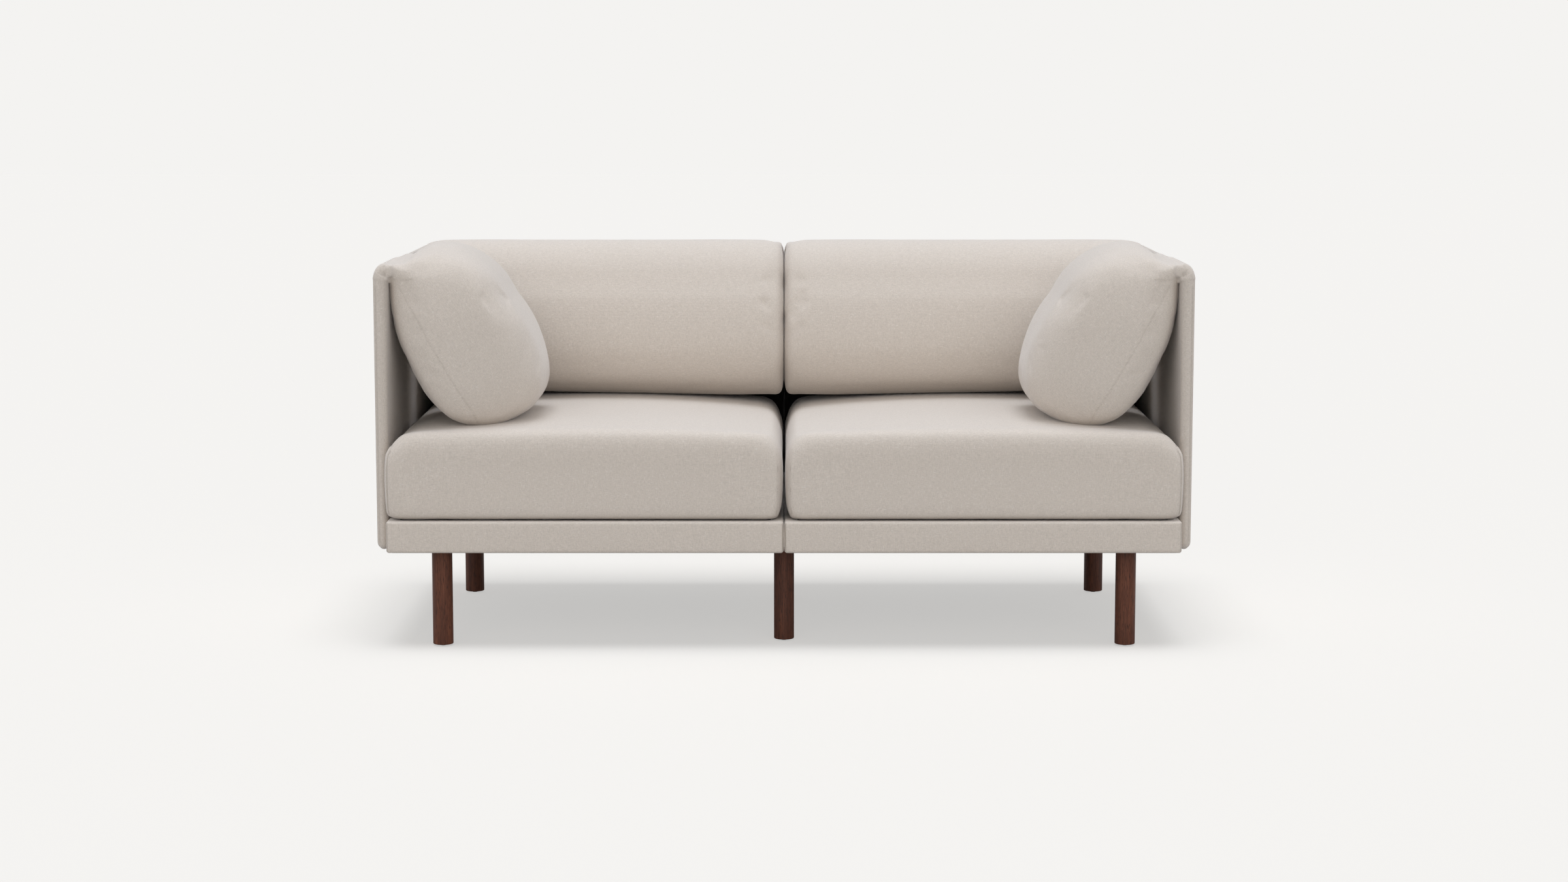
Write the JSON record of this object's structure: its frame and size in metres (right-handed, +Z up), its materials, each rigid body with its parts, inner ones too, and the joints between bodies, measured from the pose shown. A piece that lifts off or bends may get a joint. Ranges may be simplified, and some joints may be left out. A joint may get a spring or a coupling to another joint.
{
  "type": "two-seater sofa",
  "caption": "Two-seater sofa with thin padded arm and back panels, hanging arm and back pillows, box seat cushions and round wooden legs.",
  "frame": {"origin": "on the floor, midway along the width and the depth", "axes": "+X across the sofa to the right as seen from the front, +Y to the back, +Z up"},
  "size_m": [1.8, 0.87, 0.889],
  "materials": {
    "upholstery": "light warm grey linen weave",
    "leg_wood": "dark walnut stain, satin",
    "frame_wood": "sawn pine",
    "board_wood": "birch plywood",
    "foam": "polyurethane foam and fibre filling",
    "felt": "grey needled felt",
    "dust_cloth": "black non-woven cloth",
    "spring_steel": "drawn spring wire",
    "zinc_steel": "bright zinc plate",
    "black_nylon": "moulded nylon"
  },
  "bodies": {
    "frame": {"leg_front_left": "leg_wood", "leg_front_right": "leg_wood", "leg_rear_left": "leg_wood", "leg_rear_right": "leg_wood", "front_rail_left": "frame_wood", "front_rail_right": "frame_wood", "rear_rail_left": "frame_wood", "rear_rail_right": "frame_wood", "outer_rail_left": "frame_wood", "outer_rail_right": "frame_wood", "inner_rail_left": "frame_wood", "inner_rail_right": "frame_wood", "leg_blocks_left": "frame_wood", "leg_blocks_right": "frame_wood", "base_cover_left": "upholstery", "base_cover_right": "upholstery", "dust_cover_left": "dust_cloth", "dust_cover_right": "dust_cloth", "zigzag_springs_left": "spring_steel", "zigzag_springs_right": "spring_steel", "spring_clips_left": "zinc_steel", "spring_clips_right": "zinc_steel", "deck_pad_left": "felt", "deck_pad_right": "felt", "deck_cloth_left": "dust_cloth", "deck_cloth_right": "dust_cloth", "arm_board_left": "board_wood", "arm_board_right": "board_wood", "arm_cover_left": "upholstery", "arm_cover_right": "upholstery", "back_board_left": "board_wood", "back_board_right": "board_wood", "back_cover_left": "upholstery", "back_cover_right": "upholstery", "leg_front_middle": "leg_wood", "leg_rear_middle": "leg_wood", "glides": "black_nylon", "hanger_bolts": "zinc_steel", "leg_plates": "zinc_steel", "link_plates": "zinc_steel", "plate_screws": "zinc_steel", "arm_bolts": "zinc_steel", "back_bolts": "zinc_steel", "link_bolts": "zinc_steel"},
    "seat_cushion_left": {"seat_cushion_left": "upholstery", "seat_core_left": "foam"},
    "arm_pillow_left": {"arm_pillow_left": "upholstery", "arm_pillow_core_left": "foam"},
    "back_cushion_left": {"back_cushion_left": "upholstery", "back_cushion_core_left": "foam"},
    "seat_cushion_right": {"seat_cushion_right": "upholstery", "seat_core_right": "foam"},
    "arm_pillow_right": {"arm_pillow_right": "upholstery", "arm_pillow_core_right": "foam"},
    "back_cushion_right": {"back_cushion_right": "upholstery", "back_cushion_core_right": "foam"}
  },
  "joints": [
    {"name": "seat_pull_left", "type": "slide", "parent": "frame", "child": "seat_cushion_left", "axis": [0, -1, 0], "range_m": [0, 0.45]},
    {"name": "arm_pillow_swing_left", "type": "hinge", "parent": "frame", "child": "arm_pillow_left", "pos_m": [-0.869, 0, 0.851], "axis": [0, -1, 0], "range_deg": [0, 80]},
    {"name": "back_cushion_swing_left", "type": "hinge", "parent": "frame", "child": "back_cushion_left", "pos_m": [-0.435, 0.404, 0.851], "axis": [-1, 0, 0], "range_deg": [0, 9]},
    {"name": "seat_pull_right", "type": "slide", "parent": "frame", "child": "seat_cushion_right", "axis": [0, -1, 0], "range_m": [0, 0.45]},
    {"name": "arm_pillow_swing_right", "type": "hinge", "parent": "frame", "child": "arm_pillow_right", "pos_m": [0.869, 0, 0.851], "axis": [0, 1, 0], "range_deg": [0, 80]},
    {"name": "back_cushion_swing_right", "type": "hinge", "parent": "frame", "child": "back_cushion_right", "pos_m": [0.435, 0.404, 0.851], "axis": [-1, 0, 0], "range_deg": [0, 9]}
  ]
}
